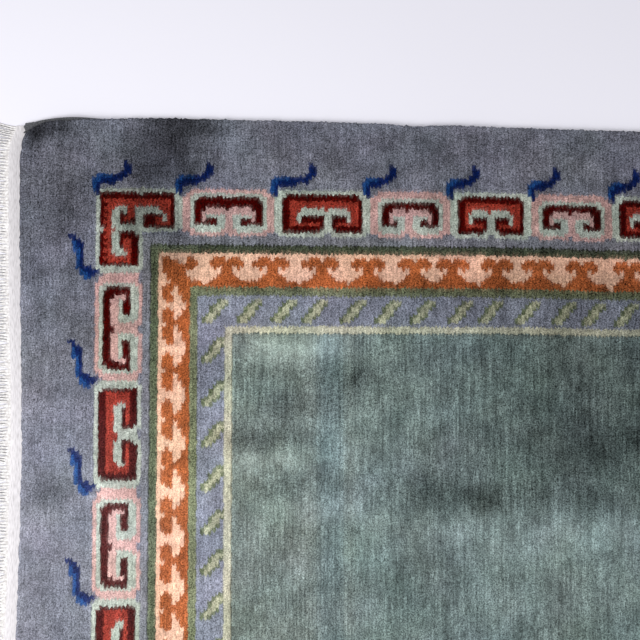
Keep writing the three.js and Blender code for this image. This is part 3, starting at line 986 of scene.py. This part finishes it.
# Painted shade and light: by the back-left corner the wraps are drawn darker, for the pile's shadow
# over them, and further along lighter, for the edge tufts that catch the light
along = add_node(tree, "ShaderNodeSeparateXYZ", None, {"Vector": place.outputs["Object"]})
darker_towards_back_corner = add_node(tree, "ShaderNodeMapRange",
                  {"From Min": -0.8, "From Max": -0.64, "To Min": 0.8, "To Max": 1.7},
                  {"Value": along.outputs["X"]})
wear_and_tone = add_node(tree, "ShaderNodeVectorMath", None,
                {0: ramp.outputs["Color"], "Scale": darker_towards_back_corner.outputs["Result"]}, operation="SCALE")
tree.links.new(shader.inputs["Base Color"], wear_and_tone.outputs["Vector"])
tree.links.new(shader.inputs["Normal"], grain_bump.outputs["Normal"])


def web_inner(side, y):
    """From the middle of the rug to the woven end's inner edge, at a place across the rug."""
    return FOUNDATION_X - draw_in("right" if side > 0 else "left", y) + FIT_GAP


LEVEL = 1e-6  # points of one ring differ by less than this along the piece


def cut_across(piece, parts):
    """Cuts each edge that runs lengthwise into this many parts."""
    mesh = piece.data
    ends = np.empty(len(mesh.edges) * 2, int)
    mesh.edges.foreach_get("vertices", ends)
    start, stop = places(mesh)[ends, 0].reshape(-1, 2).T
    mesh.vertices.foreach_set("select", np.zeros(len(mesh.vertices), bool))
    mesh.polygons.foreach_set("select", np.zeros(len(mesh.polygons), bool))
    mesh.edges.foreach_set("select", np.abs(start - stop) > LEVEL)
    bpy.ops.object.mode_set(mode="EDIT")
    bpy.ops.mesh.select_mode(type="EDGE")
    bpy.ops.mesh.subdivide(number_cuts=parts - 1)
    bpy.ops.object.mode_set(mode="OBJECT")


def turn_faces_out(piece):
    select_only(piece)
    bpy.ops.object.mode_set(mode="EDIT")
    bpy.ops.mesh.select_all(action="SELECT")
    bpy.ops.mesh.normals_make_consistent(inside=False)
    bpy.ops.object.mode_set(mode="OBJECT")


def add_selvedge(name, side):
    low = 2 * FIT_GAP - web_inner(-1, side * SIDE_Y)
    high = web_inner(1, side * SIDE_Y) - 2 * FIT_GAP
    bpy.ops.object.select_all(action="DESELECT")
    bpy.ops.mesh.primitive_cylinder_add(vertices=SELVEDGE_SIDES, radius=1, depth=1,
                                        rotation=(0, np.pi / 2, 0))
    piece = bpy.context.object
    piece.name = piece.data.name = name
    bpy.ops.object.transform_apply(location=False, rotation=True, scale=False)
    for parts in SELVEDGE_PARTS:
        cut_across(piece, parts)
    mesh = piece.data
    points = places(mesh)
    x = low + (points[:, 0] + 0.5) * (high - low)
    angle = np.arctan2(points[:, 2], points[:, 1])
    wrap = WRAP_RISE * np.abs(np.sin(turn(x, 2 * WRAP_PITCH) + angle / 2))
    across = np.sign(np.cos(angle)) * np.abs(np.cos(angle)) ** SQUARENESS
    up = np.sign(np.sin(angle)) * np.abs(np.sin(angle)) ** SQUARENESS
    groove = CORD_GROOVE["depth"] * bell(across, CORD_GROOVE["reach"]) * (up > 0)
    edge = "back" if side > 0 else "front"
    loose = bell(x + END_X, LOOSE_END["reach"]) if side > 0 else 0 * x
    half = SELVEDGE_WIDTH / 2 * (1 + LOOSE_END["spread"] * loose)
    middle = side * (SIDE_Y - draw_in(edge, x) - half)
    y = middle + across * (half - WRAP_RISE + wrap)
    x, y = np.stack([x, y]) + LOOSE_END["fray"] * loose * rng.normal(0, 1, (2, len(x)))
    z = SELVEDGE_HEIGHT / 2 + up * (SELVEDGE_HEIGHT / 2 - WRAP_RISE + wrap) - groove + curl(x, y)
    move_to(mesh, np.stack([*pulled(x, y, CORNER_GIVE), z], 1))
    mesh.materials.append(overcast_wool)
    turn_faces_out(piece)
    bpy.ops.object.shade_smooth_by_angle(angle=np.radians(60))
    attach(piece, "root")
    return piece


overcast_back = add_selvedge("overcast_back", 1)
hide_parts("selvedge_back")
overcast_front = add_selvedge("overcast_front", -1)
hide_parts("selvedge_front")

# The woven ends: past the last row of knots at each short side the white cotton weft is beaten
# down over the warps in a flat band, which keeps the knots from working loose.
WEB_WIDTH = 14 * MM
WEB_RIPPLE = {"depth": 0.6 * MM, "length": 195 * MM}
WARPS = 266
WARP_RISE = 0.25 * MM
PICKS = 9  # of weft over the width of the band, every other one lying a little lower
PICK_DIP = 0.08 * MM

# Unbleached cotton weft, beaten down tight: matt, off-white, with thin darker lines between
# the threads. They are drawn at 0.9 mm, about twice as coarse as they are.
woven_cotton, tree, shader = new_material("woven_cotton_band")
shader.inputs["Roughness"].default_value = 0.9
shader.inputs["Sheen Weight"].default_value = 0.1
place = add_node(tree, "ShaderNodeTexCoord")
stretched = add_node(tree, "ShaderNodeMapping", {"Scale": (1 / (0.9 * MM), 1 / (7 * MM), 1)},
                     {"Vector": place.outputs["Object"]})
weft = add_node(tree, "ShaderNodeTexNoise", {"Scale": 1, "Detail": 2},
                {"Vector": stretched.outputs["Vector"]})
ramp = add_node(tree, "ShaderNodeValToRGB", None, {"Fac": weft.outputs["Fac"]},
                stops=[(0.25, "#bebabb"), (0.6, "#e3dfe1")])
weft_bump = add_node(tree, "ShaderNodeBump", {"Distance": 0.25 * MM, "Strength": 0.7},
                     {"Height": weft.outputs["Fac"]})
# Towards the back corner the band is drawn darker
across = add_node(tree, "ShaderNodeSeparateXYZ", None, {"Vector": place.outputs["Object"]})
darker_towards_back_corner = add_node(tree, "ShaderNodeMapRange",
                  {"From Min": 0.12, "From Max": 0.32, "To Min": 1.04, "To Max": 0.9},
                  {"Value": across.outputs["Y"]})
wear_and_tone = add_node(tree, "ShaderNodeVectorMath", None,
                {0: ramp.outputs["Color"], "Scale": darker_towards_back_corner.outputs["Result"]}, operation="SCALE")
tree.links.new(shader.inputs["Base Color"], wear_and_tone.outputs["Vector"])
tree.links.new(shader.inputs["Normal"], weft_bump.outputs["Normal"])


def add_web(name, side):
    bpy.ops.object.select_all(action="DESELECT")
    bpy.ops.mesh.primitive_grid_add(x_subdivisions=PICKS, y_subdivisions=2 * WARPS, size=1)
    piece = bpy.context.object
    piece.name = piece.data.name = name
    mesh = piece.data
    flat = places(mesh)
    y = 2 * PILE_Y * flat[:, 1]
    inner = web_inner(side, y)
    ripple = WEB_RIPPLE["depth"] * np.sin(turn(y, WEB_RIPPLE["length"]))
    x = side * (inner + (flat[:, 0] + 0.5) * (WEB_WIDTH + ripple))
    on_warp = np.rint((flat[:, 1] + 0.5) * 2 * WARPS) % 2 == 1
    pick = np.rint((flat[:, 0] + 0.5) * PICKS)
    rib = np.where(on_warp, 0, -WARP_RISE) - PICK_DIP * (pick % 2)
    z = WEB_THICKNESS + rib + curl(x, y)
    move_to(mesh, np.stack([*pulled(x, y), z], 1))
    extrude_border(piece, lambda p: np.stack([p[:, 0], p[:, 1], curl(p[:, 0], p[:, 1])], 1))
    close_border(piece)
    lay_out(piece)
    mesh.materials.append(woven_cotton)
    select_only(piece)
    bpy.ops.object.shade_smooth_by_angle(angle=np.radians(60))
    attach(piece, "root")
    return piece


web_left = add_web("web_left", -1)
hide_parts("fringed_end_left")
web_right = add_web("web_right", 1)
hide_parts("fringed_end_right")

# The fringe: the warps themselves, two-ply cotton, cut about 50 mm past the woven end and left
# loose on the floor. One strand is modelled, and each warp is a copy with its own bends.
FRINGE_LENGTH = 50 * MM
LENGTH_SPREAD = 0.08
STRAND_ROOT = 0.5 * MM  # the length that is sunk in the band
STRAND_STEPS = 22
STRAND_SIDES = 6
STRAND_RADIUS = {"wide": 1.3 * MM, "narrow": 0.95 * MM}
ROOT_SWELL = {"share": 0.55, "reach": 6 * MM, "flat": 0.45}  # the last weft holds them flat
TWIST_PITCH = 18 * MM  # drawn twice as long as the real ply twist, so that it shows
TIP_SHARE = 0.7
FRINGE_SWAY = {"reach": 1.5 * MM, "curve": 4, "length": 440 * MM}
# The warps lie together in tufts of about four, which lean and gather towards their middle
TUFT = {"warps": 4, "lean": 2 * MM, "gather": 0.14, "within": 0.4}
STRAND_LEAN = 2 * MM
STRAND_WAVE = {"reach": 0.9 * MM, "curve": 9}
OUTER_WARP = 2 * MM  # in from the rug's side
STRAND_AXIS = 0.85 * MM  # height of its middle over the floor
STRAND_LIFT = 1.1 * MM  # of every other tuft, where it crosses its neighbours
# At the back corner the strands fan out
FAN = {"y": SIDE_Y, "reach": 22 * MM, "spread": 7 * MM}

# Undyed two-ply cotton yarn: matt and off-white, a little greyer here and there. The lint is
# drawn in bunches of some 2 mm.
cotton_ply, tree, shader = new_material("plied_cotton_warp")
shader.inputs["Roughness"].default_value = 0.88
shader.inputs["Sheen Weight"].default_value = 0.1
place = add_node(tree, "ShaderNodeTexCoord")
lint = add_node(tree, "ShaderNodeTexNoise", {"Scale": 1 / (2.2 * MM), "Detail": 3},
                {"Vector": place.outputs["Object"]})
ramp = add_node(tree, "ShaderNodeValToRGB", None, {"Fac": lint.outputs["Fac"]},
                stops=[(0.3, "#c5c0bd"), (0.65, "#eeeceb")])
# Painted shade: the strands' sides are drawn greyer than their tops, for the shade that falls low
# down between the strands
facing = add_node(tree, "ShaderNodeNewGeometry")
upward = add_node(tree, "ShaderNodeSeparateXYZ", None, {"Vector": facing.outputs["Normal"]})
side_shade = add_node(tree, "ShaderNodeMapRange",
                {"From Min": 0.2, "From Max": 0.9, "To Min": 0.3, "To Max": 1},
                {"Value": upward.outputs["Z"]})
side_shaded = add_node(tree, "ShaderNodeVectorMath", None,
                 {0: ramp.outputs["Color"], "Scale": side_shade.outputs["Result"]}, operation="SCALE")
tree.links.new(shader.inputs["Base Color"], side_shaded.outputs["Vector"])


def add_strand():
    """One warp end, straight, from 0 to 1 along X, with a unit section."""
    bpy.ops.object.select_all(action="DESELECT")
    bpy.ops.mesh.primitive_cylinder_add(vertices=STRAND_SIDES, radius=1, depth=1,
                                        rotation=(0, np.pi / 2, 0), location=(0.5, 0, 0))
    strand = bpy.context.object
    bpy.ops.object.transform_apply()
    cut_across(strand, STRAND_STEPS)
    return strand


strand = add_strand()
strand_points = places(strand.data)
strand_faces = [list(face.vertices) for face in strand.data.polygons]
bpy.data.objects.remove(strand)


def add_fringe(name, side):
    t, ply = strand_points[:, 0], np.arctan2(strand_points[:, 2], strand_points[:, 1])
    points, faces = [], []
    roots = ((np.arange(WARPS) + 0.5) / WARPS - 0.5) * (RUG_WIDTH - 2 * OUTER_WARP)
    tuft_of = np.cumsum(rng.random(WARPS) < 1 / TUFT["warps"])
    tuft_middle = np.bincount(tuft_of, roots) / np.maximum(1, np.bincount(tuft_of))
    tuft_lean = rng.normal(0, TUFT["lean"], WARPS)
    for n, y0 in enumerate(roots):
        tuft = tuft_of[n]
        root_x = web_inner(side, y0) + WEB_WIDTH
        length = FRINGE_LENGTH * (1 - LENGTH_SPREAD * rng.random())
        lean = (STRAND_LEAN * rng.normal() + FAN["spread"] * bell(y0 - FAN["y"], FAN["reach"])
                + tuft_lean[tuft])
        gather = TUFT["gather"] * (tuft_middle[tuft] - y0)
        wave = STRAND_WAVE["reach"] * rng.normal()
        phase, start = rng.random(2) * 2 * np.pi
        x = root_x - STRAND_ROOT + t * (length + STRAND_ROOT)
        shared = FRINGE_SWAY["reach"] * np.sin(FRINGE_SWAY["curve"] * t
                                               + turn(y0, FRINGE_SWAY["length"]))
        own = lean + wave * np.sin(STRAND_WAVE["curve"] * t + phase)
        drawn = gather * np.minimum(1, t / TUFT["within"])
        twist = start + turn(t * length, TWIST_PITCH)
        size = 1 - (1 - TIP_SHARE) * t
        wide, narrow = STRAND_RADIUS["wide"], STRAND_RADIUS["narrow"]
        radius = size * (narrow + (wide - narrow) * np.abs(np.cos(ply - twist)))
        held = bell(t * length, ROOT_SWELL["reach"])
        wide_share, high_share = 1 + ROOT_SWELL["share"] * held, 1 - ROOT_SWELL["flat"] * held
        y = y0 + t * (shared + own) + drawn + wide_share * radius * np.cos(ply)
        over = (tuft % 2) * STRAND_LIFT * np.sin(np.pi * t)
        z = np.maximum(0, STRAND_AXIS + over + high_share * radius * np.sin(ply))
        offset = len(points) * len(t)
        points.append(np.stack([*pulled(side * x, y), z], 1))
        faces += [[v + offset for v in face] for face in strand_faces]
    mesh = bpy.data.meshes.new(name)
    mesh.from_pydata(np.concatenate(points), [], faces)
    piece = bpy.data.objects.new(name, mesh)
    bpy.context.collection.objects.link(piece)
    turn_faces_out(piece)
    bpy.ops.object.shade_smooth_by_angle(angle=np.radians(70))
    mesh.materials.append(cotton_ply)
    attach(piece, "root")
    return piece


fringe_left = add_fringe("fringe_left", -1)
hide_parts("fringed_end_left")
fringe_right = add_fringe("fringe_right", 1)
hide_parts("fringed_end_right")

# The floor: a plain pale surface that the rug lies on, smooth and matt, and faintly uneven in
# tone over a metre or so.
bpy.ops.object.select_all(action="DESELECT")
bpy.ops.mesh.primitive_plane_add(size=9)
floor = bpy.context.object
floor.name = "floor"
pale_floor, tree, shader = new_material("pale_floor")
shader.inputs["Roughness"].default_value = 0.6
place = add_node(tree, "ShaderNodeTexCoord")
cloud = add_node(tree, "ShaderNodeTexNoise", {"Scale": 1.5, "Detail": 2},
                 {"Vector": place.outputs["Object"]})
ramp = add_node(tree, "ShaderNodeValToRGB", None, {"Fac": cloud.outputs["Fac"]},
                stops=[(0, "#dfdde5"), (1, "#e8e7ef")])
tree.links.new(shader.inputs["Base Color"], ramp.outputs["Color"])
floor.data.materials.append(pale_floor)

# Soft light: a large square lamp hangs past each end of the rug, turned in towards it, and the
# surround is pale and even.
LAMP_SIZE = 1.0


def add_soft_lamp(name, at, towards, watts):
    lamp = bpy.data.objects.new(name, bpy.data.lights.new(name, "AREA"))
    lamp.data.size = LAMP_SIZE
    lamp.data.energy = watts
    lamp.location = at
    facing = Vector(towards) - Vector(at)
    lamp.rotation_euler = facing.to_track_quat("-Z", "Y").to_euler()
    bpy.context.collection.objects.link(lamp)


add_soft_lamp("key_lamp", at=(-1.3, -0.1, 1.2), towards=(-0.6, 0.1, 0), watts=20)
add_soft_lamp("far_lamp", at=(1.1, 0.1, 1.4), towards=(0.4, 0, 0), watts=18)
world = bpy.data.worlds.new("surround")
bpy.context.scene.world = world
world.use_nodes = True
background = world.node_tree.nodes["Background"]
background.inputs["Color"].default_value = (*linear("#f4f5fb"), 1)
background.inputs["Strength"].default_value = 0.34
bpy.context.scene.view_settings.view_transform = "Standard"

# The camera looks down on the back-left corner of the rug, as the photograph does.
camera = bpy.data.objects.new("camera", bpy.data.cameras.new("camera"))
camera.location = (-0.6232, 0.1593, 1.1)
camera.rotation_euler = np.radians([3.51, -4.53, -0.04])
camera.data.lens = 59.74
camera.data.sensor_width = 36
bpy.context.collection.objects.link(camera)
bpy.context.scene.camera = camera
